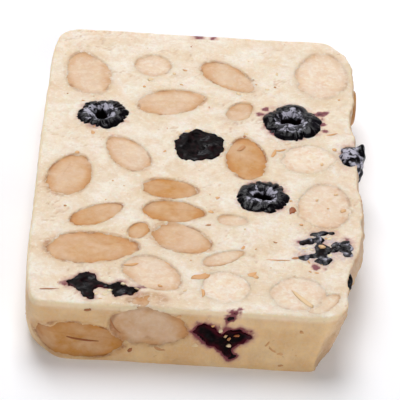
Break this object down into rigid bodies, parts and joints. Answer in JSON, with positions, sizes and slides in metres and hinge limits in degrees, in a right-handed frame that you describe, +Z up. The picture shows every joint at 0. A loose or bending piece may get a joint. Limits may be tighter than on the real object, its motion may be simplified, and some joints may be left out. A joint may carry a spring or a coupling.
{
  "type": "nougat slice",
  "caption": "Thick slice of soft white nougat set with whole almonds and dried blueberries, lying flat on its rounded end with the knife-cut face up.",
  "frame": {"origin": "middle of the underside's bounding rectangle, on the surface the slice lies on", "axes": "+Z up through the thickness, from the block's rounded end to the cut face; +Y along the long side, away from the front side that was the block's flank; +X to the right, towards the side that was the block's uneven top"},
  "size_m": [0.065, 0.094, 0.0149],
  "materials": {
    "nougat": "matt, faintly waxy, with small pores",
    "almond": "cut blanched almond, satin",
    "blueberry": "dark wrinkled skin, moist gloss, wine red flesh"
  },
  "bodies": {
    "root": {"nougat": "nougat", "almond_01": "almond", "almond_02": "almond", "almond_03": "almond", "almond_04": "almond", "almond_05": "almond", "almond_06": "almond", "almond_07": "almond", "almond_08": "almond", "almond_09": "almond", "almond_10": "almond", "almond_11": "almond", "almond_12": "almond", "almond_13": "almond", "almond_14": "almond", "almond_15": "almond", "almond_16": "almond", "almond_17": "almond", "almond_18": "almond", "almond_19": "almond", "almond_20": "almond", "almond_21": "almond", "almond_22": "almond", "almond_23": "almond", "almond_24": "almond", "almond_25": "almond", "almond_26": "almond", "almond_27": "almond", "almond_28": "almond", "almond_29": "almond", "almond_30": "almond", "almond_31": "almond", "almond_32": "almond", "almond_33": "almond", "almond_34": "almond", "almond_35": "almond", "almond_36": "almond", "almond_37": "almond", "blueberry_01": "blueberry", "blueberry_02": "blueberry", "blueberry_03": "blueberry", "blueberry_04": "blueberry", "blueberry_05": "blueberry", "blueberry_06": "blueberry", "blueberry_07": "blueberry", "blueberry_08": "blueberry", "blueberry_09": "blueberry", "blueberry_10": "blueberry", "blueberry_11": "blueberry", "blueberry_12": "blueberry", "blueberry_13": "blueberry"}
  },
  "joints": []
}
